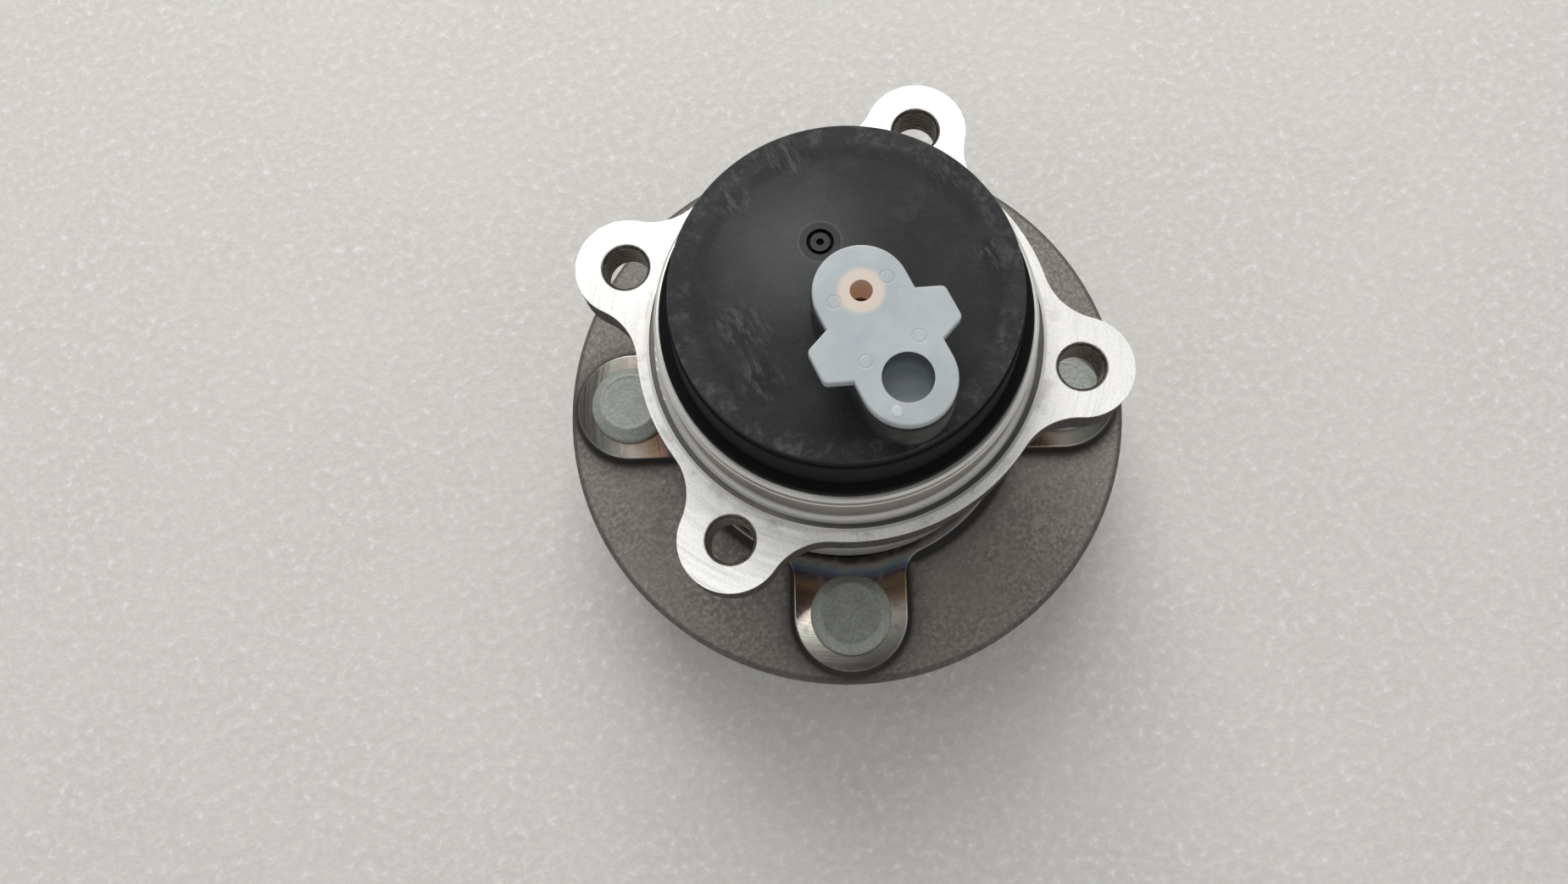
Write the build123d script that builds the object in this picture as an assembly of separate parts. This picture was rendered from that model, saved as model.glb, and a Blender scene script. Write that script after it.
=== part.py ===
from build123d import *
from math import acos, cos, pi, radians, sin, sqrt
import os

# Rear wheel hub unit for a non-driven axle: a flanged hub runs on two rows of balls in a flanged outer ring.
# Millimetres. The origin is on the hub axis in the wheel face, +Z points inboard, towards the sensor cap.
# -Y is the side of the sensor bore.

# wheel studs
bolt_circle_r = 50.0
stud_count = 4
stud_phase = -25.2  # angle of the first stud from +X
stud_thread_r = 6.0
stud_knurl_r = 6.25
stud_reach = 30.0  # from the wheel face to the stud's tip
stud_point_r = 4.9
stud_point_l = 3.0
stud_head_r = 9.0
stud_head_h = 3.8
stud_head_top_r = 6.9
stud_head_rim_h = 1.8
stud_head_round = 0.4
stud_seat_relief = 0.4  # chamfer at the knurl's leading end

# hub flange
flange_margin = 14.8  # from the bolt circle to the rim
flange_rim_t = 7.0
flange_crown = 0.8  # rise of the forged face from the rim to the hub
flange_edge = 0.9
pad_h = 10.2  # machined seat of the stud heads above the wheel face
pad_r = 12.7
pad_flare_r = 6.0
pad_draft = 14.0
pad_edge = 0.35
pad_foot_round = 1.2
hub_face_r = 39.3
pilot_r = 27.05
pilot_l = 12.5
pilot_lead = 1.4
drum_pilot_r = 30.0
drum_pilot_l = 5.0
drum_pilot_lead = 0.8
recess_mouth_r = 21.5
recess_floor_r = 14.0
recess_depth = 22.0  # from the pilot's end

# ball rows
ball_d = 11.112
ball_gap = 1.55  # the least space between two balls of a row, along the pitch circle
pitch_r = 24.5
contact_angle = 35.0
outboard_row_z = 26.0
row_gap = 24.0
groove_share = 0.52  # groove radius over ball diameter
race_play = 0.02  # gap at the point of contact
outer_land_h = 3.1  # from the pitch circle out to the land between the rows
inner_shoulder_h = 2.9  # from the pitch circle in to the shoulder

# spindle and inner ring
seal_land_h = 1.4  # above the inner shoulder
seal_land_fillet = 2.2
seal_land_top = 19.0
shoulder_fall = 0.9
seat_r = 13.0
inner_ring_z = 37.0
inner_ring_l = 22.5
inner_ring_chamfer = 0.8
formed_head_r = 16.6
formed_head_h = 3.6
formed_head_round = 1.6
formed_cup_r = 9.0
formed_cup_floor_r = 6.5
formed_cup_depth = 10.0

# outer ring
ring_face_z = 12.8
ring_end_z = 68.2
barrel_r = 38.0
barrel_nose_r = 36.6
barrel_nose_l = 6.0
neck_fillet = 2.0
knuckle_face_z = 56.4
knuckle_flange_t = 8.4
knuckle_waist_w = 2.5  # from the undercut to the waist between the lugs
knuckle_hole_circle_r = 46.5
front_lug_angle = 54.8  # each side of -Y
rear_lug_angle = 45.0  # each side of +Y
lug_r = 10.25
lug_fillet = 12.5
lug_edge = 0.8
knuckle_hole_r = 4.35  # tapped M10
knuckle_hole_mouth_r = 5.16
knuckle_pilot_r = 36.5
pilot_lead_in = 0.2
pilot_lead_in_l = 2.2
ring_end_chamfer = 0.5
root_fillet = 1.5
undercut_depth = 0.5
undercut_w = 2.4
seal_bore_clearance = 1.5  # round the slinger
seal_bore_l = 6.0
cap_bore_r = 33.0
cap_bore_l = 7.6
bore_chamfer = 0.4

# outboard seal
slinger_t = 0.6
slinger_inset = 0.4  # inside the outer ring's face
slinger_l = 4.6
slinger_w = 7.0  # from the seal land to the slinger's rim
seal_case_t = 0.8
seal_case_gap = 3.0  # from the seal land to the case
seal_case_inset = 0.6
lip_rubber_t = 1.0
lip_tip_w = 0.3
lip_clearance = 0.06
side_lip_inset = 0.2  # inside the slinger's rim

# encoder
encoder_sleeve_t = 0.7
encoder_sleeve_l = 3.4
encoder_clearance = 1.2  # inside the cap's spigot
encoder_magnet_t = 1.0
encoder_magnet_rim = 0.3

# cages
cage_inner_w = 1.4  # from the pitch circle in to the cage's bore
cage_outer_w = 2.1
cage_back = 6.2  # from the row's plane to the closed side
cage_front = 2.2  # from the row's plane to the tips of the prongs
pocket_play = 0.2

# sensor cap
cap_ledge_r = 35.1
cap_ledge_t = 1.8
cap_foot_r = 33.0
cap_shoulder_r = 32.5
cap_shoulder_round = 0.6
cap_shoulder_z = 78.4
cap_top_r = 32.0
cap_top_z = 81.3
cap_top_edge = 0.25
cap_wall_t = 2.4
cap_roof_t = 2.4
cap_sleeve_t = 0.8
cap_sleeve_l = 5.2
o_ring_h = 1.5
o_ring_w = 1.6
o_ring_round = 0.5
gate_y = 10.0
gate_r = 2.5
gate_core_r = 1.8
gate_core_drop = 0.15
gate_depth = 0.8
gate_dot_r = 0.7

# sensor boss, insert and plug
insert_y = -5.8
sensor_y = -22.8
boss_r = 8.7
boss_h = 10.0
boss_edge = 0.4
sensor_mouth_r = 6.0  # land of the sensor's O-ring
sensor_mouth_l = 11.0
sensor_bore_r = 5.6
guide_wall = 2.2
guide_end_z = 66.0
insert_r = 4.0
insert_l = 8.0
insert_bore_r = 2.5  # tapped M6
insert_band_depth = 0.4
insert_band_w = 2.0
insert_drill_depth = 1.2
insert_drill_play = 0.3
insert_wall = 1.8
plug_t = 2.0
plug_r = 8.3
plug_edge_round = 0.35
plug_ear_y = -14.4
plug_ear_root_x = 8.0
plug_ear_root_w = 10.4
plug_ear_tip_x = 12.9
plug_ear_tip_w = 6.3
plug_ear_round = 1.2
plug_stem_r = 5.5
plug_stem_l = 9.0
plug_cup_r = 4.4
plug_floor_t = 1.5
plug_rib_r = 5.95
plug_rib_w = 0.8
plug_hole_r = 1.95

overcut = 1.0  # how far a cutting or joining bar runs past the face it meets
face_slack = 0.01  # within which a point counts as lying on a face

# worked out from the sizes above
balls_per_row = int(2 * pi * pitch_r / (ball_d + ball_gap))
outer_land_r = pitch_r + outer_land_h
inner_shoulder_r = pitch_r - inner_shoulder_h
cage_inner_r = pitch_r - cage_inner_w
cage_outer_r = pitch_r + cage_outer_w
seal_land_r = inner_shoulder_r + seal_land_h
slinger_r = seal_land_r + slinger_w
seal_bore_r = slinger_r + seal_bore_clearance
seal_case_hole_r = seal_land_r + seal_case_gap
encoder_flange_r = cap_bore_r - cap_sleeve_t - cap_wall_t - encoder_clearance
flange_r = bolt_circle_r + flange_margin
pilot_lead_in_r = knuckle_pilot_r - pilot_lead_in
undercut_r = knuckle_pilot_r + undercut_w
knuckle_waist_r = undercut_r + knuckle_waist_w
crown_z = flange_rim_t + flange_crown
flange_root_r = (undercut_r + knuckle_waist_r) / 2
ball_r = ball_d / 2
groove_r = groove_share * ball_d
groove_shift = groove_r - ball_r - race_play
inboard_row_z = outboard_row_z + row_gap
inner_ring_end = inner_ring_z + inner_ring_l
groove_top_r = pitch_r - groove_shift * cos(radians(contact_angle)) + groove_r
groove_low_r = pitch_r + groove_shift * cos(radians(contact_angle)) - groove_r
knuckle_back_z = knuckle_face_z - knuckle_flange_t
boss_top_z = cap_top_z + boss_h
plug_top_z = boss_top_z + plug_t
seal_floor_z = ring_face_z + seal_bore_l
slinger_z = ring_face_z + slinger_inset
cap_bore_floor = ring_end_z - cap_bore_l


def turned(*stations):
    """A solid of revolution about Z. A station is a corner (radius, height) or three points of an arc."""
    corners = [s if isinstance(s, list) else [s] for s in stations]
    edges = []
    for here, following in zip(corners, corners[1:] + corners[:1]):
        if len(here) == 3:
            edges.append(ThreePointArc(*here))
        if here[-1] != following[0]:
            edges.append(Line(here[-1], following[0]))
    return revolve(make_face(Plane.XZ * Curve(edges)), Axis.Z)


def on_circle(centre, radius, *angles):
    """Points of a circle in the (radius, height) plane at angles in degrees."""
    return [
        (centre[0] + radius * cos(radians(a)), centre[1] + radius * sin(radians(a)))
        for a in angles
    ]


def raceway(row_z, towards, side):
    """An arc from a groove's deepest point up to its shoulder.

    towards is the way along Z to the shoulder. side is 1 in the outer ring and -1 on the hub and inner ring.
    """
    centre_r = pitch_r - side * groove_shift * cos(radians(contact_angle))
    centre_z = row_z - towards * groove_shift * sin(radians(contact_angle))
    shoulder_r = outer_land_r if side > 0 else inner_shoulder_r
    sweep = acos(side * (shoulder_r - centre_r) / groove_r)
    return [
        (centre_r + side * groove_r * cos(a), centre_z + towards * groove_r * sin(a))
        for a in (0, sweep / 2, sweep)
    ]


def around(piece, count, radius, phase=0.0):
    """Copies of a piece on a circle about Z."""
    return [Rot(0, 0, phase + 360 / count * i) * Pos(radius, 0, 0) * piece for i in range(count)]


def disc(radius, low, high, y=0.0):
    """A round bar along Z between two heights."""
    return Pos(0, y, low) * extrude(Circle(radius), high - low)


def pads():
    """Raised seats of the stud heads, flared into the round hub face."""
    lobe = Pos(bolt_circle_r, 0) * Circle(pad_r)
    bar = Pos(bolt_circle_r / 2, 0) * Rectangle(bolt_circle_r, 2 * pad_r)
    outline = Sketch() + Circle(hub_face_r)
    for turn in range(stud_count):
        outline += Rot(0, 0, stud_phase + 360 / stud_count * turn) * (lobe + bar)
    roots = [v for v in outline.vertices() if sqrt(v.X**2 + v.Y**2) < bolt_circle_r]
    outline = fillet(roots, pad_flare_r)
    body = Pos(0, 0, pad_h) * extrude(outline.face(), -(pad_h - flange_rim_t / 2), taper=-pad_draft)
    return chamfer(body.edges().group_by(Axis.Z)[-1], pad_edge)


def is_pad_foot(edge):
    """Whether an edge runs where a pad's drafted side meets the forged face."""
    return all(flange_rim_t + face_slack < (edge @ share).Z < crown_z for share in (0, 0.5, 1))


def hub_flange():
    """Forged flange, wheel pilot, outboard raceway, spindle and its formed end in one piece."""
    race = raceway(outboard_row_z, -1, -1)
    root = (seal_land_r + seal_land_fillet, pad_h + seal_land_fillet)
    head_top = inner_ring_end + formed_head_h
    head_round = (formed_head_r - formed_head_round, head_top - formed_head_round)
    body = turned(
        (0, recess_depth - pilot_l),
        (recess_floor_r, recess_depth - pilot_l),
        (recess_mouth_r, -pilot_l),
        (pilot_r - pilot_lead / 2, -pilot_l),
        (pilot_r, pilot_lead - pilot_l),
        (pilot_r, -drum_pilot_l),
        (drum_pilot_r - drum_pilot_lead, -drum_pilot_l),
        (drum_pilot_r, drum_pilot_lead - drum_pilot_l),
        (drum_pilot_r, 0),
        (flange_r - flange_edge, 0),
        (flange_r, flange_edge),
        (flange_r, flange_rim_t - flange_edge),
        (flange_r - flange_edge, flange_rim_t),
        (hub_face_r, crown_z),
        on_circle(root, seal_land_fillet, -90, -135, -180),
        (seal_land_r, seal_land_top),
        (inner_shoulder_r, seal_land_top + shoulder_fall),
        race[::-1],
        (groove_low_r, inner_ring_z),
        (seat_r, inner_ring_z),
        (seat_r, inner_ring_end),
        (formed_head_r, inner_ring_end),
        on_circle(head_round, formed_head_round, 0, 45, 90),
        (formed_cup_r, head_top),
        (formed_cup_floor_r, head_top - formed_cup_depth),
        (0, head_top - formed_cup_depth),
    )
    body += pads() - disc(seal_land_r + seal_land_fillet / 2, 0, pad_h)
    body = fillet([edge for edge in body.edges() if is_pad_foot(edge)], pad_foot_round)
    for hole in around(disc(stud_knurl_r, -overcut, pad_h + overcut), stud_count, bolt_circle_r, stud_phase):
        body -= hole
    return body


def wheel_stud():
    """A pressed-in stud: conical head, knurled neck and a thread with a point."""
    body = turned(
        (0, -stud_reach),
        (stud_point_r, -stud_reach),
        (stud_point_r, stud_point_l - stud_reach),
        (stud_thread_r, stud_point_l - stud_reach + stud_thread_r - stud_point_r),
        (stud_thread_r, 0),
        (stud_knurl_r - stud_seat_relief, 0),
        (stud_knurl_r, stud_seat_relief),
        (stud_knurl_r, pad_h),
        (stud_head_r, pad_h),
        (stud_head_r, pad_h + stud_head_rim_h),
        (stud_head_top_r, pad_h + stud_head_h),
        (0, pad_h + stud_head_h),
    )
    rims = [edge for edge in body.edges() if edge.center().Z > pad_h + stud_head_rim_h / 2]
    return fillet(rims, stud_head_round)


def inner_ring():
    """Inboard inner ring, clamped between the spindle's shoulder and its formed end."""
    race = raceway(inboard_row_z, 1, -1)
    cut = inner_ring_chamfer
    return turned(
        (seat_r + cut, inner_ring_z),
        (groove_low_r, inner_ring_z),
        race,
        (inner_shoulder_r, inner_ring_end - cut / 2),
        (inner_shoulder_r - cut / 2, inner_ring_end),
        (seat_r + cut, inner_ring_end),
        (seat_r, inner_ring_end - cut),
        (seat_r, inner_ring_z + cut),
    )


def seal_slinger():
    """Pressed steel ring on the seal land, which the lips rub on."""
    return turned(
        (seal_land_r, slinger_z),
        (slinger_r, slinger_z),
        (slinger_r, slinger_z + slinger_t),
        (seal_land_r + slinger_t, slinger_z + slinger_t),
        (seal_land_r + slinger_t, slinger_z + slinger_l),
        (seal_land_r, slinger_z + slinger_l),
    )


def encoder_carrier():
    """Flanged steel sleeve on the inner ring's shoulder."""
    low = inner_ring_end + encoder_sleeve_t - encoder_sleeve_l
    high = inner_ring_end + encoder_sleeve_t
    return turned(
        (inner_shoulder_r, low),
        (inner_shoulder_r + encoder_sleeve_t, low),
        (inner_shoulder_r + encoder_sleeve_t, inner_ring_end),
        (encoder_flange_r, inner_ring_end),
        (encoder_flange_r, high),
        (inner_shoulder_r, high),
    )


def encoder_magnet():
    """Magnetised rubber ring bonded to the carrier, read by the wheel speed sensor."""
    low = inner_ring_end + encoder_sleeve_t
    return turned(
        (inner_shoulder_r + encoder_magnet_rim, low),
        (encoder_flange_r - encoder_magnet_rim, low),
        (encoder_flange_r - encoder_magnet_rim, low + encoder_magnet_t),
        (inner_shoulder_r + encoder_magnet_rim, low + encoder_magnet_t),
    )


def balls(row_z):
    """One row of balls."""
    return around(Pos(0, 0, row_z) * Sphere(ball_r), balls_per_row, pitch_r)


def cage(row_z, back):
    """Crown cage with spherical pockets. back is the way along Z to its closed side."""
    low, high = sorted((row_z + back * cage_back, row_z - back * cage_front))
    body = disc(cage_outer_r, low, high) - disc(cage_inner_r, low, high)
    for pocket in around(Pos(0, 0, row_z) * Sphere(ball_r + pocket_play), balls_per_row, pitch_r):
        body -= pocket
    return body


def lug_places():
    """Centres of the four knuckle bolt holes."""
    angles = (90 - rear_lug_angle, 90 + rear_lug_angle, 270 - front_lug_angle, 270 + front_lug_angle)
    return on_circle((0, 0), knuckle_hole_circle_r, *angles)


def knuckle_flange():
    """Four-lug flange with a concave flank on each side of every lug."""
    outline = Sketch() + Circle(knuckle_waist_r)
    for x, y in lug_places():
        outline += Pos(x, y) * Circle(lug_r)
    outline = fillet(outline.vertices(), lug_fillet)
    body = Pos(0, 0, knuckle_back_z) * extrude(outline.face(), knuckle_flange_t)
    body = chamfer(body.edges().group_by(Axis.Z)[0], lug_edge)
    bore_r = (undercut_r + flange_root_r) / 2
    return body - disc(bore_r, knuckle_back_z - overcut, knuckle_face_z + overcut)


def outer_ring():
    """Outer ring with both raceways, the knuckle flange and pilot, the seal bore and the cap bore."""
    floor_z = knuckle_face_z - undercut_depth
    root = (knuckle_pilot_r + root_fillet, floor_z + root_fillet)
    neck = (barrel_r + neck_fillet, knuckle_back_z - neck_fillet)
    lead_z = ring_end_z - ring_end_chamfer - pilot_lead_in_l
    body = turned(
        (seal_bore_r + bore_chamfer, ring_face_z),
        (seal_bore_r, ring_face_z + bore_chamfer),
        (seal_bore_r, seal_floor_z),
        (groove_top_r, seal_floor_z),
        raceway(outboard_row_z, 1, 1),
        raceway(inboard_row_z, -1, 1)[::-1],
        (groove_top_r, cap_bore_floor),
        (cap_bore_r, cap_bore_floor),
        (cap_bore_r, ring_end_z - bore_chamfer),
        (cap_bore_r + bore_chamfer, ring_end_z),
        (pilot_lead_in_r - ring_end_chamfer, ring_end_z),
        (pilot_lead_in_r, ring_end_z - ring_end_chamfer),
        (pilot_lead_in_r, lead_z),
        (knuckle_pilot_r, lead_z - knuckle_pilot_r + pilot_lead_in_r),
        on_circle(root, root_fillet, 180, 225, 270),
        (undercut_r, floor_z),
        (undercut_r, knuckle_face_z),
        (flange_root_r, knuckle_face_z),
        (flange_root_r, knuckle_back_z),
        on_circle(neck, neck_fillet, 90, 135, 180),
        (barrel_r, ring_face_z + barrel_nose_l),
        (barrel_nose_r, ring_face_z),
    )
    body += knuckle_flange()
    mouth = knuckle_hole_mouth_r - knuckle_hole_r
    cone = turned((0, 0), (knuckle_hole_mouth_r, 0), (knuckle_hole_r, mouth), (0, mouth))
    for x, y in lug_places():
        body -= Pos(x, y, 0) * disc(knuckle_hole_r, knuckle_back_z - overcut, knuckle_face_z + overcut)
        body -= Pos(x, y, knuckle_face_z) * Rot(180, 0, 0) * cone
        body -= Pos(x, y, knuckle_back_z) * cone
    return body


def seal_case():
    """Pressed steel case of the outboard seal."""
    inner = seal_bore_r - seal_case_t
    return turned(
        (inner, ring_face_z + seal_case_inset),
        (seal_bore_r, ring_face_z + seal_case_inset),
        (seal_bore_r, seal_floor_z),
        (seal_case_hole_r, seal_floor_z),
        (seal_case_hole_r, seal_floor_z - seal_case_t),
        (inner, seal_floor_z - seal_case_t),
    )


def seal_lips():
    """Rubber bonded to the case, with a side lip on the slinger's flange and two lips on its sleeve."""
    high = seal_floor_z - seal_case_t
    low = high - lip_rubber_t
    edge_r = seal_case_hole_r - lip_rubber_t
    rub_r = seal_land_r + slinger_t + lip_clearance
    rub_z = slinger_z + slinger_t + lip_clearance
    outer = seal_bore_r - seal_case_t
    return turned(
        (seal_case_hole_r, seal_floor_z),
        (edge_r, seal_floor_z),
        (rub_r + lip_tip_w, seal_floor_z),
        (rub_r, seal_floor_z - lip_tip_w),
        (edge_r, high - lip_tip_w),
        (rub_r, low - lip_rubber_t),
        (rub_r + lip_tip_w, low - lip_rubber_t - lip_tip_w),
        (edge_r + lip_tip_w, low),
        (outer - 2 * lip_rubber_t - lip_tip_w, low),
        (slinger_r - side_lip_inset - lip_tip_w, rub_z),
        (slinger_r - side_lip_inset, rub_z),
        (outer - lip_rubber_t, low),
        (outer, low),
        (outer, high),
        (seal_case_hole_r, high),
    )


def cap_sleeve():
    """Pressed steel sleeve round the cap's spigot, driven into the outer ring."""
    low = cap_bore_floor
    return turned(
        (cap_bore_r - cap_sleeve_t, low),
        (cap_bore_r, low),
        (cap_bore_r, low + cap_sleeve_l),
        (cap_bore_r - cap_sleeve_t, low + cap_sleeve_l),
    )


def cap_o_ring():
    """O-ring squeezed between the cap's groove and the outer ring's bore."""
    low = cap_bore_floor + cap_sleeve_l
    inner = cap_bore_r - o_ring_w
    cut = o_ring_round
    return turned(
        (inner, low + cut),
        (inner + cut, low),
        (cap_bore_r - cut, low),
        (cap_bore_r, low + cut),
        (cap_bore_r, low + o_ring_h - cut),
        (cap_bore_r - cut, low + o_ring_h),
        (inner + cut, low + o_ring_h),
        (inner, low + o_ring_h - cut),
    )


def boss_outline(radius):
    """Round-ended outline about the insert and the sensor bore."""
    ends = (Pos(0, insert_y) * Circle(radius)) + (Pos(0, sensor_y) * Circle(radius))
    return ends + Pos(0, (insert_y + sensor_y) / 2) * Rectangle(2 * radius, insert_y - sensor_y)


def sensor_insert():
    """Knurled brass bush with a thread for the sensor's bolt."""
    low = boss_top_z - insert_l
    middle = boss_top_z - insert_l / 2
    band_r = insert_r - insert_band_depth
    shape = turned(
        (insert_bore_r, low),
        (insert_r, low),
        (insert_r, middle - insert_band_w / 2),
        (band_r, middle - insert_band_w / 2),
        (band_r, middle + insert_band_w / 2),
        (insert_r, middle + insert_band_w / 2),
        (insert_r, boss_top_z),
        (insert_bore_r, boss_top_z),
    )
    return Pos(0, insert_y, 0) * shape


def cap_shell():
    """Roof, wall, ledge and spigot of the cap, before the boss and its bores."""
    ledge_top = ring_end_z + cap_ledge_t
    spigot_r = cap_bore_r - cap_sleeve_t
    inner = spigot_r - cap_wall_t
    groove_low = cap_bore_floor + cap_sleeve_l
    shoulder = (cap_shoulder_r - cap_shoulder_round, cap_shoulder_z - cap_shoulder_round)
    return turned(
        (inner, cap_bore_floor),
        (spigot_r, cap_bore_floor),
        (spigot_r, groove_low),
        (cap_bore_r - o_ring_w, groove_low),
        (cap_bore_r - o_ring_w, groove_low + o_ring_h),
        (spigot_r, groove_low + o_ring_h),
        (spigot_r, ring_end_z),
        (cap_ledge_r, ring_end_z),
        (cap_ledge_r, ledge_top - cap_top_edge),
        (cap_ledge_r - cap_top_edge, ledge_top),
        (cap_foot_r, ledge_top),
        on_circle(shoulder, cap_shoulder_round, 0, 45, 90),
        (cap_top_r, cap_shoulder_z),
        (cap_top_r, cap_top_z - cap_top_edge),
        (cap_top_r - cap_top_edge, cap_top_z),
        (0, cap_top_z),
        (0, cap_top_z - cap_roof_t),
        (inner, cap_top_z - cap_roof_t),
    )


def sensor_cap():
    """Moulded cap with the boss for the sensor, its guide tube and the mark of the moulding gate."""
    roof_z = cap_top_z - cap_roof_t
    root = cap_roof_t / 2
    boss = Pos(0, 0, cap_top_z - root) * extrude(boss_outline(boss_r).face(), boss_h + root)
    boss = chamfer(boss.edges().group_by(Axis.Z)[-1], boss_edge)
    insert_low = boss_top_z - insert_l
    drill_low = insert_low - insert_drill_depth
    body = cap_shell() + boss + disc(sensor_bore_r + guide_wall, guide_end_z, roof_z + overcut, sensor_y)
    body += disc(insert_r, drill_low - insert_wall, roof_z + overcut, insert_y)
    body -= disc(sensor_bore_r, guide_end_z - overcut, boss_top_z + overcut, sensor_y)
    body -= disc(sensor_mouth_r, boss_top_z - sensor_mouth_l, boss_top_z + overcut, sensor_y)
    body -= sensor_insert() + disc(insert_bore_r, insert_low, boss_top_z + overcut, insert_y)
    body -= disc(insert_bore_r + insert_drill_play, drill_low, insert_low, insert_y)
    body -= disc(gate_r, cap_top_z - gate_depth, cap_top_z + overcut, gate_y)
    body += disc(gate_core_r, cap_top_z - gate_depth, cap_top_z - gate_core_drop, gate_y)
    return body - disc(gate_dot_r, cap_top_z - gate_depth, cap_top_z + overcut, gate_y)


def plug_ears():
    """The two finger tabs, as one outline across the plug."""
    half = [
        (plug_ear_root_x, plug_ear_y + plug_ear_root_w / 2),
        (plug_ear_tip_x, plug_ear_y + plug_ear_tip_w / 2),
        (plug_ear_tip_x, plug_ear_y - plug_ear_tip_w / 2),
        (plug_ear_root_x, plug_ear_y - plug_ear_root_w / 2),
    ]
    mirrored = [(-x, y) for x, y in half]
    outline = make_face(Polyline(*half, *mirrored[::-1], close=True))
    tips = [v for v in outline.vertices() if abs(v.X) > plug_ear_root_x + plug_ear_round]
    return fillet(tips, plug_ear_round)


def transit_plug():
    """Soft plug over the boss: plate with finger tabs, a hollow ribbed stem, and a hole over the insert."""
    plate = extrude((boss_outline(plug_r) + plug_ears()).face(), plug_t)
    plate = fillet(plate.edges().group_by(Axis.Z)[-1], plug_edge_round)
    body = Pos(0, 0, boss_top_z) * plate
    stem_end = boss_top_z - plug_stem_l
    body += disc(plug_stem_r, stem_end, boss_top_z + overcut, sensor_y)
    for share in (1, 2):
        rib_z = boss_top_z - plug_stem_l * share / 3
        body += disc(plug_rib_r, rib_z - plug_rib_w / 2, rib_z + plug_rib_w / 2, sensor_y)
    body -= disc(plug_cup_r, stem_end + plug_floor_t, plug_top_z + overcut, sensor_y)
    return body - disc(plug_hole_r, boss_top_z - overcut, plug_top_z + overcut, insert_y)


os.makedirs("parts", exist_ok=True)

pieces = {
    "hub_flange": hub_flange(),
    "inner_ring": inner_ring(),
    "seal_slinger": seal_slinger(),
    "encoder_carrier": encoder_carrier(),
    "encoder_magnet": encoder_magnet(),
    "outboard_balls": Compound(balls(outboard_row_z)),
    "inboard_balls": Compound(balls(inboard_row_z)),
    "outboard_cage": cage(outboard_row_z, -1),
    "inboard_cage": cage(inboard_row_z, 1),
    "outer_ring": outer_ring(),
    "seal_case": seal_case(),
    "seal_lips": seal_lips(),
    "cap_sleeve": cap_sleeve(),
    "cap_o_ring": cap_o_ring(),
    "sensor_insert": sensor_insert(),
    "sensor_cap": sensor_cap(),
    "transit_plug": transit_plug(),
}
for number, stud in enumerate(around(wheel_stud(), stud_count, bolt_circle_r, stud_phase), 1):
    pieces[f"wheel_stud_{number}"] = stud

for node, piece in pieces.items():
    export_step(piece, f"parts/{node}.step")
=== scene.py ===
import bpy
import math
from mathutils import Matrix, Vector


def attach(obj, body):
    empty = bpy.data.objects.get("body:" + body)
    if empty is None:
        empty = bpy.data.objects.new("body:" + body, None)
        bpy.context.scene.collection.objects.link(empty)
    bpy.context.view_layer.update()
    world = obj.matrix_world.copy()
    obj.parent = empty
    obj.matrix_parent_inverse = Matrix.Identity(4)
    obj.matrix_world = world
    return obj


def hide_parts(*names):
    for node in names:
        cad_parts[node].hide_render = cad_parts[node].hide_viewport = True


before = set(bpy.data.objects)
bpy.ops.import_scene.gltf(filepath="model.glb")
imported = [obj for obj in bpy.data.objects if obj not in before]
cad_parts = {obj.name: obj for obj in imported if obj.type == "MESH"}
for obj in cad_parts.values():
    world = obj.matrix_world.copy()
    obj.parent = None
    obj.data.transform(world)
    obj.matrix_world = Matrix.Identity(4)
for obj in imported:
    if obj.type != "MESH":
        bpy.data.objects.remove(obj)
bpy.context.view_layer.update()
mm = 0.001


# material helpers: each gives back the socket to go on with

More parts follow.
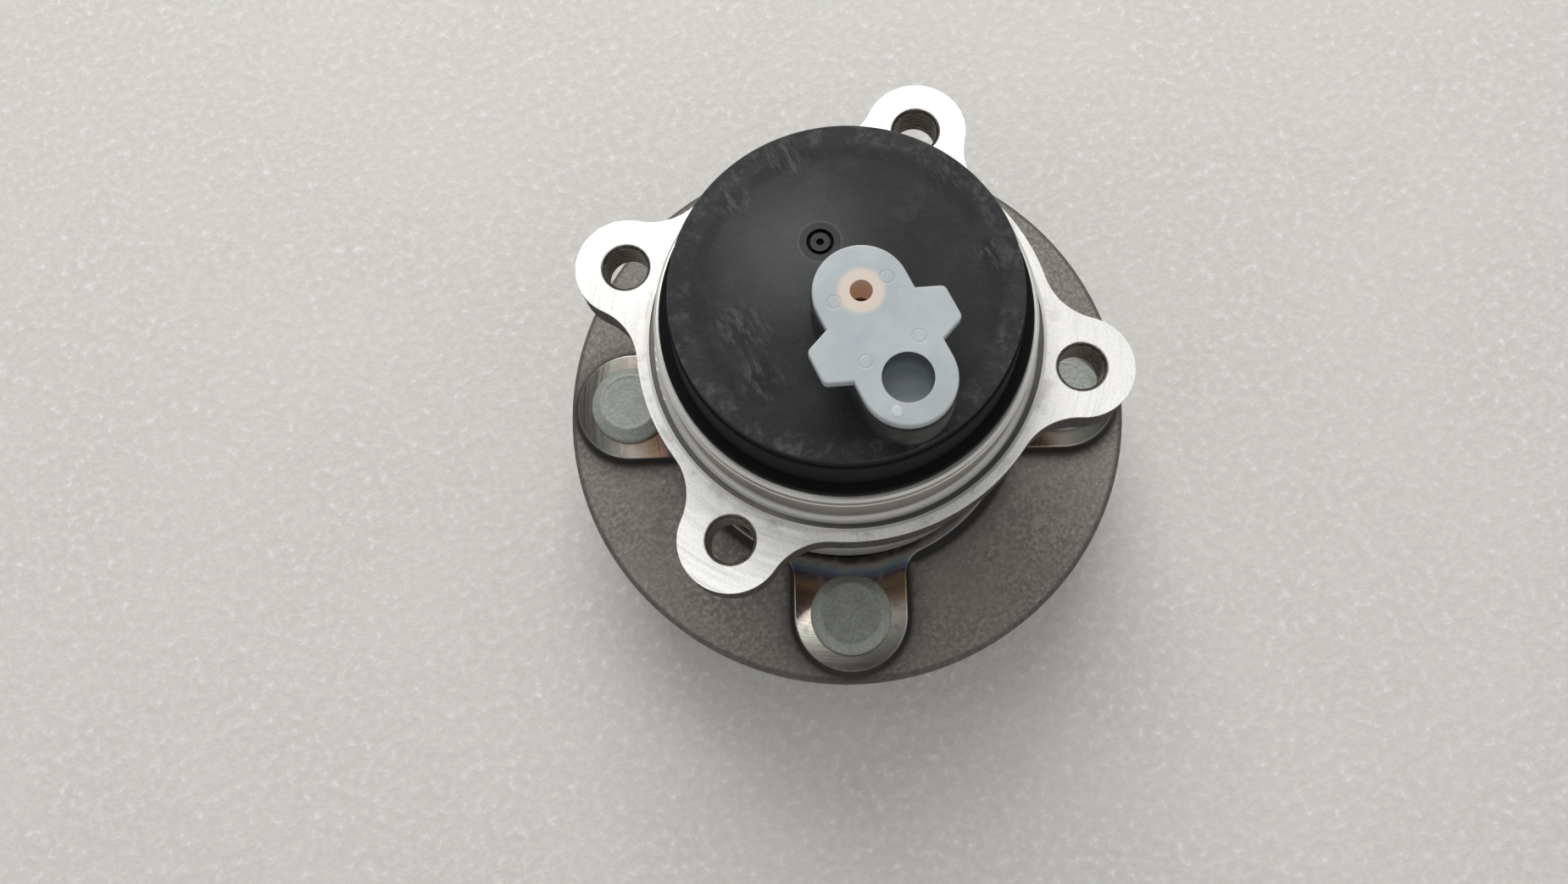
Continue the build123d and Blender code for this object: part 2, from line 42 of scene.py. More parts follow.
class Shader:
    # one material whose nodes are added step by step, with positions in millimetres
    def __init__(self, name):
        self.material = bpy.data.materials.new(name)
        self.material.use_nodes = True
        self.tree = self.material.node_tree
        self.surface = self.tree.nodes["Principled BSDF"]
        coords = self.add("TexCoord").outputs
        self.place = self.add("Mapping", Vector=coords["Object"], Scale=(1 / mm, 1 / mm, 1 / mm)).outputs[0]
        self.x, self.y, self.z = self.add("SeparateXYZ", Vector=self.place).outputs
        self.facing = self.add("SeparateXYZ", Vector=coords["Normal"]).outputs["Z"]
        self.radius = self.length(self.x, self.y)

    def add(self, kind, **inputs):
        # a new node, with sockets fed by their names
        node = self.tree.nodes.new("ShaderNode" + kind)
        for name, value in inputs.items():
            self.feed(node.inputs[name.replace("_", " ")], value)
        return node

    def feed(self, socket, value):
        if isinstance(value, bpy.types.NodeSocket):
            self.tree.links.new(value, socket)
        else:
            socket.default_value = value

    def calc(self, operation, a, b=0.0):
        n = self.add("Math")
        n.operation = operation
        self.feed(n.inputs[0], a)
        self.feed(n.inputs[1], b)
        return n.outputs[0]

    def plus(self, a, b):
        return self.calc("ADD", a, b)

    def minus(self, a, b):
        return self.calc("SUBTRACT", a, b)

    def times(self, *values):
        product = values[0]
        for value in values[1:]:
            product = self.calc("MULTIPLY", product, value)
        return product

    def most(self, *values):
        top = values[0]
        for value in values[1:]:
            top = self.calc("MAXIMUM", top, value)
        return top

    def least(self, a, b):
        return self.calc("MINIMUM", a, b)

    def absolute(self, a):
        return self.calc("ABSOLUTE", a)

    def length(self, a, b):
        return self.calc("SQRT", self.plus(self.times(a, a), self.times(b, b)))

    def fromPoint(self, x, y):
        # distance seen from above
        return self.length(self.minus(self.x, x), self.minus(self.y, y))

    def rise(self, value, low, high, bottom=0.0, top=1.0):
        # bottom below low, top above high, smooth between
        n = self.add("MapRange", Value=value, From_Min=low, From_Max=high, To_Min=bottom, To_Max=top)
        n.interpolation_type = "SMOOTHSTEP"
        return n.outputs["Result"]

    def fall(self, value, low, high, top=1.0):
        return self.rise(value, low, high, top, 0.0)

    def over(self, value, limit, soft=0.1):
        # 1 past the limit, with an edge that is soft by this much on both sides
        return self.rise(value, limit - soft, limit + soft)

    def under(self, value, limit, soft=0.1):
        return self.fall(value, limit - soft, limit + soft)

    def vector(self, x, y, z):
        return self.add("CombineXYZ", X=x, Y=y, Z=z).outputs[0]

    def noise(self, scale, detail=3.0, roughness=0.55, place=None, stretch=None, turn=0.0):
        place = place or self.place
        if stretch:
            rotation = (0, 0, math.radians(turn))
            place = self.add("Mapping", Vector=place, Scale=stretch, Rotation=rotation).outputs[0]
        n = self.add("TexNoise", Vector=place, Scale=scale, Detail=detail, Roughness=roughness)
        return n.outputs["Fac"]

    def specks(self, scale, size):
        # round specks: 1 in the middle of each cell
        cells = self.add("TexVoronoi", Vector=self.place, Scale=scale)
        return self.fall(cells.outputs["Distance"], size * 0.4, size)

    def ramp(self, value, stops):
        n = self.add("ValToRGB", Fac=value)
        marks = n.color_ramp.elements
        while len(marks) < len(stops):
            marks.new(0.5)
        for mark, (at, colour) in zip(marks, stops):
            mark.position = at
            mark.color = tone(colour)
        return n.outputs["Color"]

    def mix(self, share, a, b):
        # two colours, given as sockets or as they look on screen, at sockets 6 and 7 of the node
        n = self.add("Mix")
        n.data_type = "RGBA"
        self.feed(n.inputs[0], share)
        for socket, colour in zip(n.inputs[6:8], (a, b)):
            self.feed(socket, tone(colour) if isinstance(colour, tuple) else colour)
        return n.outputs[2]

    def blend(self, share, a, b):
        # two plain numbers, at sockets 2 and 3 of the node
        n = self.add("Mix")
        self.feed(n.inputs[0], share)
        self.feed(n.inputs[2], a)
        self.feed(n.inputs[3], b)
        return n.outputs[0]

    def bump(self, height, depth):
        # depth in millimetres
        n = self.add("Bump", Height=height, Distance=depth * mm)
        self.feed(self.surface.inputs["Normal"], n.outputs[0])

    def turned(self, fine):
        # coordinates for marks that run round the axis, so many to a millimetre
        drift = 0.05
        up = self.plus(self.times(self.z, fine), self.times(self.y, drift))
        return self.vector(self.times(self.radius, fine), self.times(self.x, drift), up)

    def spun(self):
        # highlights spread across the marks of turning, which a quarter turn of the tangent gives
        tangent = self.add("Tangent")
        tangent.direction_type = "RADIAL"
        tangent.axis = "Z"
        self.feed(self.surface.inputs["Tangent"], tangent.outputs[0])
        self.surface.inputs["Anisotropic Rotation"].default_value = 0.25

    def finish(self, color, metallic, roughness, **fixed):
        self.feed(self.surface.inputs["Base Color"], color)
        self.feed(self.surface.inputs["Metallic"], metallic)
        self.feed(self.surface.inputs["Roughness"], roughness)
        for name, value in fixed.items():
            self.surface.inputs[name.replace("_", " ")].default_value = value
        return self.material


def tone(rgb):
    # a colour as it looks on screen, 0 to 255, made linear for a colour socket
    return tuple(((c / 255 + 0.055) / 1.055) ** 2.4 if c > 10 else c / 255 / 12.92 for c in rgb) + (1.0,)


def paint(material, *nodeNames):
    for name in nodeNames:
        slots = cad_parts[name].data.materials
        if not slots:
            slots.append(material)
        for i in range(len(slots)):
            slots[i] = material


# hub flange: shot-blasted forging with machined stud seats

hubFlange = {
    "forged": (143, 138, 132),
    "forgedDark": (112, 108, 103),
    "forgedLight": (162, 157, 149),
    "forgedSpeck": (176, 172, 163),
    "paintedShade": (26, 23, 21),
    "machined": (196, 195, 190),
    "turningMark": (140, 137, 134),
    "blotch": (150, 145, 138),
    "studAngle": -25.2,
    "studCircle": 50.0,
    "seatHalfWidth": 12.7,
    "seatHeight": 10.2,
    "hubRadius": 39.9,
    "hollowRadius": 21.45,
    "rimRadius": 63.9,
    "wheelFace": 0.1,
    "heatWander": 3.5,
    # radius from the axis, and the colour there
    "heat": [
        # the first two stops are darkened with painted shade, for the shadow under the outer ring's flange
        (35.5, (52, 49, 47)),
        (37.6, (92, 87, 85)),
        (38.7, (190, 180, 170)),
        (39.8, (146, 164, 170)),
        (40.8, (98, 112, 140)),
        (42.3, (86, 66, 80)),
        (44.2, (160, 128, 102)),
        (46.8, (200, 170, 146)),
        (51.0, (246, 232, 220)),
        (55.5, (196, 198, 186)),
        (58.5, (156, 152, 145)),
        (61.5, (122, 119, 113)),
    ],
}


def forgedSteel():
    part = hubFlange
    s = Shader("forgedSteel")

    # distance from the foot of the nearest seat, or of the hub in the middle
    turn = math.radians(-part["studAngle"])
    along = s.absolute(s.minus(s.times(s.x, math.cos(turn)), s.times(s.y, math.sin(turn))))
    across = s.absolute(s.plus(s.times(s.x, math.sin(turn)), s.times(s.y, math.cos(turn))))
    past = s.most(s.minus(s.most(along, across), part["studCircle"]), 0.0)
    fromSeat = s.minus(s.length(past, s.least(along, across)), part["seatHalfWidth"])
    fromFoot = s.least(fromSeat, s.minus(s.radius, part["hubRadius"]))

    # blasted skin, peened in patches, with painted shade at the rim and in the feet
    grain = s.noise(1.0, 4.0, 0.62)
    cloud = s.noise(0.07, 3.0, 0.5)
    skin = s.mix(s.rise(grain, 0.36, 0.68), part["forgedDark"], part["forgedLight"])
    skin = s.mix(s.rise(cloud, 0.35, 0.7, 0.1, 0.55), skin, part["forged"])
    peened = s.times(s.specks(0.62, 0.3), s.rise(s.noise(0.35), 0.48, 0.62))
    skin = s.mix(s.times(peened, 0.7), skin, part["forgedSpeck"])
    # painted shade: the rim is darkened for the shadow under its edge
    rimShade = s.rise(s.radius, part["rimRadius"] - 0.6, part["rimRadius"] + 0.2)
    skin = s.mix(s.times(rimShade, 0.55), skin, part["paintedShade"])
    # painted shade: a soft dark band round the feet of the seats and the hub
    footShade = s.plus(s.fall(fromFoot, 0.5, 2.2, 0.66), s.fall(fromFoot, 0.8, 6.5, 0.3))
    skin = s.mix(footShade, skin, part["paintedShade"])

    # colours that hardening heat leaves round the hub, with painted shade next to the hub under the outer
    # ring's flange
    first = part["heat"][0][0]
    reach = part["heat"][-1][0] - first
    wander = s.times(s.minus(s.noise(0.1, 2.0), 0.5), part["heatWander"])
    heat = s.calc("DIVIDE", s.minus(s.plus(s.radius, wander), first), reach)
    tint = s.ramp(heat, [((at - first) / reach, colour) for at, colour in part["heat"]])
    lines = s.noise(1.0, 2.0, 0.5, place=s.turned(2.6))
    tint = s.mix(s.rise(lines, 0.3, 0.7, 0.0, 0.18), tint, part["turningMark"])
    blotch = s.rise(s.noise(0.4, 4.0, 0.6), 0.5, 0.7, 0.0, 0.45)
    tint = s.mix(blotch, tint, part["blotch"])

    onSeat = s.rise(s.z, part["seatHeight"] - 0.3, part["seatHeight"] - 0.02)
    wheelSide = s.times(s.under(s.z, part["wheelFace"], 0.05), s.over(s.radius, part["hollowRadius"], 0.15))
    bare = s.most(onSeat, wheelSide)
    tint = s.mix(wheelSide, tint, part["machined"])
    s.bump(s.blend(bare, s.noise(1.3, 5.0, 0.7), s.times(lines, 0.015)), 0.3)
    rough = s.blend(bare, s.rise(grain, 0.3, 0.7, 0.6, 0.78), s.rise(lines, 0.3, 0.7, 0.12, 0.17))
    s.spun()
    return s.finish(s.mix(bare, skin, tint), s.blend(bare, 0.25, 1.0), rough, Anisotropic=0.3)


# outer ring: forged lugs, turned mounting face and rings

outerRing = {
    "turned": (228, 226, 220),
    "turnedDull": (196, 195, 190),
    "smear": (178, 176, 170),
    "satin": (252, 251, 247),
    "hatch": (214, 213, 208),
    "paintedShade": (52, 50, 47),
    "wall": (122, 118, 112),
    "barrelShade": (84, 81, 77),
    "forged": (84, 80, 76),
    "forgedDark": (60, 57, 54),
    "bore": (164, 158, 148),
    "boreDark": (70, 66, 61),
    "faceMetal": 0.6,
    # the front and rear hole of one side
    "holes": [(37.997, -26.804), (32.880, 32.880)],
    "holeRadius": 5.05,
    "threadPitch": 1.25,
    "faceHeight": 56.4,
    "faceEdge": 0.8,
    "flangeBack": 47.1,
    "barrelRadius": 39.5,
    "barrelShadeFull": 12.0,
    "barrelShadeEnd": 34.0,
    "pilotRadius": 37.8,
    "pilotWall": 57.5,
    "grooveFloor": 55.15,
    "besideBarrelShadeReach": 43.5,
}


def machinedSteel():
    part = outerRing
    face = part["faceHeight"]
    s = Shader("machinedSteel")
    side = s.absolute(s.x)
    toHole = s.least(*[s.length(s.minus(side, x), s.minus(s.y, y)) for x, y in part["holes"]])
    inHole = s.under(toHole, part["holeRadius"])
    belowFace = s.under(s.z, face - part["faceEdge"])
    onFlange = s.times(s.over(s.radius, part["barrelRadius"]), s.over(s.z, part["flangeBack"]))
    rawSide = s.times(onFlange, belowFace)

    # turned steel, with a satin mounting face
    lines = s.noise(1.0, 3.0, 0.6, place=s.turned(5.0))
    cloud = s.noise(0.09, 3.0, 0.55)
    smear = s.noise(1.0, 5.0, 0.7, place=s.turned(1.3))
    hatch = s.noise(2.2, 3.0, 0.7)
    smeared = s.times(s.rise(cloud, 0.5, 0.7), s.rise(smear, 0.45, 0.65, 0.0, 0.6))
    bright = s.mix(s.rise(lines, 0.3, 0.72, 0.0, 0.8), part["turned"], part["turnedDull"])
    bright = s.mix(smeared, bright, part["smear"])
    satin = s.mix(s.rise(smear, 0.45, 0.75, 0.0, 0.5), part["satin"], part["turnedDull"])
    satin = s.mix(s.rise(hatch, 0.42, 0.7, 0.0, 0.5), satin, part["hatch"])
    bright = s.mix(onFlange, bright, satin)

    # painted shade in the relief round the pilot, on the pilot's wall, in patches beside the barrel and on
    # the lower end of the barrel
    pastPilot = s.over(s.radius, part["pilotRadius"], 0.2)
    # painted shade in the relief groove
    groove = s.times(s.fall(s.z, face - 0.35, face - 0.1), pastPilot, s.over(s.z, part["grooveFloor"], 0.15))
    bright = s.mix(s.times(groove, 0.8), bright, part["paintedShade"])
    # painted shade on the pilot's standing wall
    standing = s.times(s.fall(s.facing, 0.05, 0.4), s.over(s.z, part["pilotWall"], 0.5))
    bright = s.mix(s.times(standing, 0.65), bright, part["wall"])
    # painted shade: a patchy dark band on the flange next to the barrel
    marks = s.rise(s.noise(0.16, 5.0, 0.66), 0.46, 0.66, 0.0, 0.4)
    besideBarrelShade = s.times(s.fall(s.radius, part["barrelRadius"] - 0.1, part["besideBarrelShadeReach"]), marks, onFlange)
    bright = s.mix(besideBarrelShade, bright, part["wall"])
    # painted shade on the barrel, darkest at its lower end under the flange
    bright = s.mix(s.fall(s.z, part["barrelShadeFull"], part["barrelShadeEnd"], 0.75), bright, part["barrelShade"])

    # painted highlight on the rounded foot of the pilot
    beadHeight = s.times(s.over(s.z, face + 0.15), s.under(s.z, face + 1.5, 0.3))
    beadHighlight = s.times(s.rise(s.facing, 0.25, 0.5), beadHeight)
    bright = s.mix(beadHighlight, bright, part["satin"])

    grain = s.noise(1.1, 4.0, 0.65)
    raw = s.mix(s.rise(grain, 0.35, 0.7), part["forgedDark"], part["forged"])
    color = s.mix(rawSide, bright, raw)

    # threads in the holes, with painted shade in the roots and random tone
    turn = s.calc("FRACT", s.calc("DIVIDE", s.z, part["threadPitch"]))
    thread = s.rise(s.absolute(s.minus(turn, 0.5)), 0.05, 0.42)
    threadShadeAndTone = s.times(s.plus(thread, s.rise(s.noise(1.6, 4.0, 0.7), 0.4, 0.65)), 0.5)
    color = s.mix(inHole, color, s.mix(threadShadeAndTone, part["boreDark"], part["bore"]))

    height = s.blend(rawSide, s.times(lines, 0.03), grain)
    s.bump(s.blend(inHole, height, s.times(thread, 1.6)), 0.3)
    onFace = s.times(onFlange, s.minus(1.0, belowFace))
    metal = s.blend(s.most(onFace, beadHighlight), s.blend(rawSide, 1.0, 0.3), part["faceMetal"])
    rough = s.blend(rawSide, s.rise(smear, 0.3, 0.7, 0.32, 0.44), 0.7)
    rough = s.blend(onFace, rough, s.rise(smear, 0.3, 0.7, 0.36, 0.5))
    s.spun()
    return s.finish(color, metal, s.blend(inHole, rough, 0.42), Anisotropic=0.75)


# sensor cap: black moulding, scuffed where it was handled

sensorCap = {
    "black": (32, 33, 33),
    "blackPale": (41, 42, 42),
    "blackShade": (5, 5, 5),
    "paintedSheen": (86, 88, 87),
    "paintedSheenAt": (-4.5, 11.0),
    "paintedSheenRadius": 21.0,
    "scuff": (112, 114, 113),
    "topHeight": 81.0,
    "gateAt": (0.0, 10.0),
    "gateRadius": 2.65,
    "gateRing": 3.9,
    "gateFloor": 81.0,
    # place and reach of each scuffed patch
    "scuffs": [
        (-10.4, 24.7, 5.0),
        (-19.6, 1.5, 7.0),
        (-20.4, -8.3, 6.0),
        (26.5, 12.0, 6.0),
        (27.0, -6.0, 5.0),
        (2.0, 27.5, 6.0),
    ],
    "scuffedRim": 28.0,
    "grooveInner": 25.3,
    "grooveOuter": 27.9,
    "insertAt": (0.0, -5.8),
    "insertRadius": 3.7,
    "insertFloor": 85.25,
    "paintedBrassGlow": (150, 112, 84),
}


def blackPlastic():
    part = sensorCap
    s = Shader("blackPlastic")
    grain = s.noise(2.0, 5.0, 0.74, stretch=(1.0, 0.5, 1.0), turn=35.0)
    cloud = s.noise(0.06, 4.0, 0.6)
    streaks = s.noise(1.1, 6.0, 0.72, stretch=(1.0, 0.28, 1.0), turn=28.0)
    top = s.rise(s.z, part["topHeight"] - 0.2, part["topHeight"])
    groove = s.times(s.over(s.radius, part["grooveInner"], 0.7), s.under(s.radius, part["grooveOuter"], 0.7))
    color = s.mix(s.rise(cloud, 0.3, 0.7), part["black"], part["blackPale"])
    # painted highlight: a broad pale patch over the middle of the top
    toSheen = s.fromPoint(*part["paintedSheenAt"])
    color = s.mix(s.fall(toSheen, 0.0, part["paintedSheenRadius"], 0.75), color, part["paintedSheen"])
    # painted shade on a ring near the edge of the top
    color = s.mix(s.times(groove, 0.5), color, part["black"])

    # gate mark: a small pit with a pale ring round it
    toGate = s.fromPoint(*part["gateAt"])
    halo = s.fall(s.absolute(s.minus(toGate, part["gateRing"])), 0.0, 0.3, 0.35)
    color = s.mix(s.fall(toGate, part["gateRing"] - 0.2, part["gateRing"], 0.5), color, part["blackPale"])
    color = s.mix(halo, color, part["scuff"])
    # painted shade: the pit of the gate and every side below the top go near black
    pit = s.times(s.under(toGate, part["gateRadius"], 0.05), s.under(s.z, part["gateFloor"], 0.05))
    color = s.mix(s.most(pit, s.minus(1.0, top)), color, part["blackShade"])

    # scuffs and dust on the top
    handled = s.most(*[s.fall(s.fromPoint(x, y), reach * 0.3, reach) for x, y, reach in part["scuffs"]])
    scuffs = s.times(s.rise(streaks, 0.46, 0.66), handled, top)
    rubbed = s.rise(s.noise(0.35, 6.0, 0.72), 0.46, 0.66, 0.0, 0.55)
    rim = s.times(s.over(s.radius, part["scuffedRim"], 1.0), rubbed)
    dust = s.rise(s.noise(0.16, 5.0, 0.68), 0.48, 0.68, 0.0, 0.16)
    marks = s.most(s.times(scuffs, 0.5), s.times(s.most(rim, dust), 0.55))
    color = s.mix(s.times(marks, top), color, part["scuff"])

    # painted light: deep in the boss round the brass insert, the brown of light that comes to the insert
    # through the plug
    atInsert = s.under(s.fromPoint(*part["insertAt"]), part["insertRadius"])
    deep = s.times(atInsert, s.under(s.z, part["insertFloor"], 0.25))
    color = s.mix(deep, color, part["paintedBrassGlow"])

    s.bump(s.plus(grain, s.times(streaks, handled, 1.6)), 0.3)
    rough = s.plus(s.rise(grain, 0.3, 0.7, 0.36, 0.46), s.times(s.most(scuffs, groove), 0.12))
    return s.finish(color, 0.0, s.blend(top, 0.9, rough), Specular_IOR_Level=0.34)


# transit plug: translucent soft plastic

transitPlug = {
    "plastic": (167, 176, 179),
    "plasticPale": (180, 188, 190),
    "overBrass": (214, 200, 186),
    "cupWallShade": (84, 89, 92),
    "cupFloorLight": (196, 203, 206),
    "mark": (196, 202, 203),
    "topHeight": 93.3,
    "cupDepth": 9.0,
    "cupAt": (0.0, -22.8),
    "cupRadius": 4.47,
    "insertAt": (0.0, -5.8),
    "pins": [(4.95, -5.6), (-4.95, -5.6), (4.95, -17.3), (-4.95, -17.3)],
    "pinRadius": 1.15,
    "gateAt": (-4.3, -27.2),
}


def plugPlastic():
    part = transitPlug
    top = part["topHeight"]
    s = Shader("plugPlastic")
    cloud = s.noise(0.12, 3.0)
    color = s.mix(s.rise(cloud, 0.3, 0.7), part["plastic"], part["plasticPale"])
    color = s.mix(s.fall(s.fromPoint(*part["insertAt"]), 3.4, 4.6, 0.9), color, part["overBrass"])

    # marks of the ejector pins and the gate
    toPinEdge = [s.absolute(s.minus(s.fromPoint(x, y), part["pinRadius"])) for x, y in part["pins"]]
    pins = s.most(*[s.fall(distance, 0.0, 0.25) for distance in toPinEdge])
    gate = s.fall(s.fromPoint(*part["gateAt"]), 0.7, 1.1)
    color = s.mix(s.most(s.times(pins, 0.25), s.times(gate, 0.8)), color, part["mark"])

    # painted shade on the upper wall of the cup, and painted light on its floor, which is made brighter than
    # the plastic
    atCup = s.under(s.fromPoint(*part["cupAt"]), part["cupRadius"], 0.05)
    inCup = s.times(atCup, s.fall(s.z, top - 0.2, top - 0.05))
    down = s.fall(s.z, top - part["cupDepth"], top - 2.0)
    color = s.mix(inCup, color, s.mix(down, part["cupWallShade"], part["cupFloorLight"]))
    ripple = s.times(s.noise(0.5, 3.0), 0.35)
    s.bump(s.plus(ripple, s.times(s.minus(gate, pins), 0.6)), 0.12)
    rough = s.rise(cloud, 0.3, 0.7, 0.3, 0.4)
    return s.finish(color, 0.0, rough, Subsurface_Weight=0.35, Subsurface_Scale=0.002)


# simpler finishes

smallParts = {
    "zinc": (140, 144, 138),
    "zincPale": (168, 171, 164),
    "zincDull": (132, 135, 129),
    "ground": (206, 206, 204),
    "groundPale": (226, 226, 223),
    "pressed": (120, 120, 117),
    "pressedPale": (150, 149, 145),
    "rubber": (26, 26, 27),
    "rubberPale": (40, 40, 41),
    "cage": (196, 178, 138),
    "cagePale": (214, 199, 160),
    "brass": (194, 158, 122),
    "brassPale": (210, 176, 140),
    # painted light: the insert glows a little, for the light that comes to it through the plug
    "paintedBrassGlow": (166, 138, 114),
    "paintedBrassGlowStrength": 0.36,
}


def zincSteel():
    s = Shader("zincSteel")
    mottle = s.noise(1.3, 5.0, 0.68)
    cloud = s.noise(0.3, 4.0)
    color = s.mix(s.rise(mottle, 0.35, 0.68), smallParts["zinc"], smallParts["zincPale"])
    color = s.mix(s.rise(cloud, 0.42, 0.68, 0.0, 0.45), color, smallParts["zincDull"])
    s.bump(mottle, 0.12)
    return s.finish(color, 0.35, s.rise(mottle, 0.3, 0.7, 0.4, 0.55))


def bearingSteel():
    s = Shader("bearingSteel")
    lines = s.noise(1.0, 2.0, 0.5, place=s.turned(6.0))
    color = s.mix(s.rise(lines, 0.3, 0.7), smallParts["ground"], smallParts["groundPale"])
    s.bump(lines, 0.01)
    return s.finish(color, 1.0, s.rise(lines, 0.3, 0.7, 0.12, 0.2))


def pressedSteel():
    s = Shader("pressedSteel")
    lines = s.noise(0.7, 3.0, 0.6, place=s.turned(5.0))
    color = s.mix(s.rise(lines, 0.3, 0.7), smallParts["pressed"], smallParts["pressedPale"])
    s.bump(lines, 0.03)
    return s.finish(color, 1.0, s.rise(lines, 0.3, 0.7, 0.28, 0.42))


def blackRubber():
    s = Shader("blackRubber")
    grain = s.noise(3.0, 3.0)
    color = s.mix(grain, smallParts["rubber"], smallParts["rubberPale"])
    s.bump(grain, 0.03)
    return s.finish(color, 0.0, s.rise(grain, 0.3, 0.7, 0.5, 0.68))


def cagePlastic():
    s = Shader("cagePlastic")
    grain = s.noise(1.2, 3.0)
    color = s.mix(grain, smallParts["cage"], smallParts["cagePale"])
    s.bump(grain, 0.03)
    return s.finish(color, 0.0, s.rise(grain, 0.3, 0.7, 0.34, 0.48))


def brass():
    s = Shader("brass")
    lines = s.noise(0.8, 3.0)
    color = s.mix(lines, smallParts["brass"], smallParts["brassPale"])
    s.bump(lines, 0.02)
    return s.finish(color, 0.6, s.rise(lines, 0.3, 0.7, 0.3, 0.45),
                    Emission_Color=tone(smallParts["paintedBrassGlow"]),
                    Emission_Strength=smallParts["paintedBrassGlowStrength"])


paint(forgedSteel(), "hub_flange")
paint(machinedSteel(), "outer_ring")
paint(blackPlastic(), "sensor_cap")
paint(plugPlastic(), "transit_plug")
zinc = zincSteel()
paint(zinc, "wheel_stud_1", "wheel_stud_2", "wheel_stud_3", "wheel_stud_4")
paint(bearingSteel(), "inner_ring", "outboard_balls", "inboard_balls")
paint(pressedSteel(), "seal_slinger", "encoder_carrier", "seal_case", "cap_sleeve")
paint(blackRubber(), "encoder_magnet", "seal_lips", "cap_o_ring")
paint(cagePlastic(), "outboard_cage", "inboard_cage")
paint(brass(), "sensor_insert")
print("materials are on the CAD nodes")


# wheel studs: cold-formed head, rolled thread and a dog point

wheelStud = {
    "count": 4,
    # radius and height, from the tip to the dished top of the head
    "sections": [
        (4.3, -30.0), (4.85, -29.5), (4.9, -27.0), (5.15, -26.7), (5.15, -2.2), (5.9, -1.2), (6.0, 0.2),
        (6.24, 0.6), (6.24, 10.2), (8.75, 10.2), (9.0, 10.45), (9.0, 11.7), (8.8, 12.1), (8.2, 12.55),
        (7.35, 13.45), (7.0, 13.75), (6.75, 13.95), (6.4, 14.0), (6.15, 13.92), (5.6, 13.88),
    ],
    "sides": 72,
    "smoothAngle": 32,
    "threadRoot": 5.0,
    "threadCrest": 5.98,
    "rootWidth": 1.3,
    "crestShare": 0.2,
    "threadPitch": 1.5,
    "threadStart": -26.2,
    "turns": 16,
    "stepsPerTurn": 28,
    "fadeSteps": 8,
}


def selectOnly(mesh, chosen):
    # picks points by their number, with edit mode left and entered again
    bpy.ops.object.mode_set(mode="EDIT")
    bpy.ops.mesh.select_mode(type="VERT")
    bpy.ops.mesh.select_all(action="DESELECT")
    bpy.ops.object.mode_set(mode="OBJECT")
    for i in chosen:
        mesh.vertices[i].select = True
    bpy.ops.object.mode_set(mode="EDIT")


def pickObject(chosen):
    bpy.ops.object.select_all(action="DESELECT")
    chosen.select_set(True)
    bpy.context.view_layer.objects.active = chosen


def turnedBlank(name, sections, sides):
    # a disc drawn up the axis from one section to the next
    bpy.ops.object.select_all(action="DESELECT")
    radius, height = sections[0]
    bpy.ops.mesh.primitive_circle_add(vertices=sides, radius=radius * mm, fill_type="NGON",
                                      location=(0, 0, height * mm))
    blank = bpy.context.object
    blank.name = name
    bpy.ops.object.transform_apply(location=True)
    bpy.ops.object.mode_set(mode="EDIT")
    for (wide, low), (nextWide, high) in zip(sections, sections[1:]):
        bpy.ops.mesh.extrude_region_move(TRANSFORM_OT_translate={"value": (0, 0, (high - low) * mm)})
        bpy.ops.transform.resize(value=(nextWide / wide, nextWide / wide, 1))
    bpy.ops.mesh.select_all(action="SELECT")
    bpy.ops.mesh.normals_make_consistent(inside=False)
    bpy.ops.object.mode_set(mode="OBJECT")
    return blank


def threadRidge():
    # one profile of the thread, wound up the stud and faded out at both ends
    root = wheelStud["threadRoot"]
    crest = wheelStud["threadCrest"]
    middle = (root + crest) / 2 * mm
    bpy.ops.object.select_all(action="DESELECT")
    bpy.ops.mesh.primitive_plane_add(size=1, rotation=(math.radians(90), 0, 0),
                                     location=(middle, 0, wheelStud["threadStart"] * mm))
    ridge = bpy.context.object
    ridge.scale = ((crest - root) * mm, wheelStud["rootWidth"] * mm, 1)
    bpy.ops.object.transform_apply(location=True, rotation=True, scale=True)
    selectOnly(ridge.data, [v.index for v in ridge.data.vertices if v.co.x > middle])
    bpy.ops.transform.resize(value=(1, 1, wheelStud["crestShare"]))
    bpy.ops.mesh.select_all(action="SELECT")
    bpy.ops.mesh.delete(type="ONLY_FACE")
    bpy.ops.object.mode_set(mode="OBJECT")
    corners = len(ridge.data.vertices)

    screw = ridge.modifiers.new("wind", "SCREW")
    screw.angle = math.radians(360)
    screw.screw_offset = wheelStud["threadPitch"] * mm
    screw.iterations = wheelStud["turns"]
    screw.steps = screw.render_steps = wheelStud["stepsPerTurn"]
    bpy.ops.object.modifier_apply(modifier="wind")

    # the corners of each profile are numbered together, so the first and last profiles are easy to pick
    points = len(ridge.data.vertices)
    for step in range(wheelStud["fadeSteps"]):
        share = (root + (crest - root) * step / wheelStud["fadeSteps"]) / crest
        for first in (corners * step, points - corners * (step + 1)):
            selectOnly(ridge.data, range(first, first + corners))
            bpy.ops.transform.resize(value=(share, share, 1), center_override=(0, 0, 0))
            bpy.ops.object.mode_set(mode="OBJECT")
    bpy.ops.object.mode_set(mode="EDIT")
    bpy.ops.mesh.select_all(action="SELECT")
    bpy.ops.mesh.fill_holes(sides=corners)
    bpy.ops.mesh.normals_make_consistent(inside=False)
    bpy.ops.object.mode_set(mode="OBJECT")
    return ridge


pattern = turnedBlank("studPattern", wheelStud["sections"], wheelStud["sides"])
ridge = threadRidge()
pickObject(pattern)
ridge.select_set(True)
bpy.ops.object.join()
bpy.ops.object.shade_smooth_by_angle(angle=math.radians(wheelStud["smoothAngle"]))
pattern.data.materials.append(zinc)

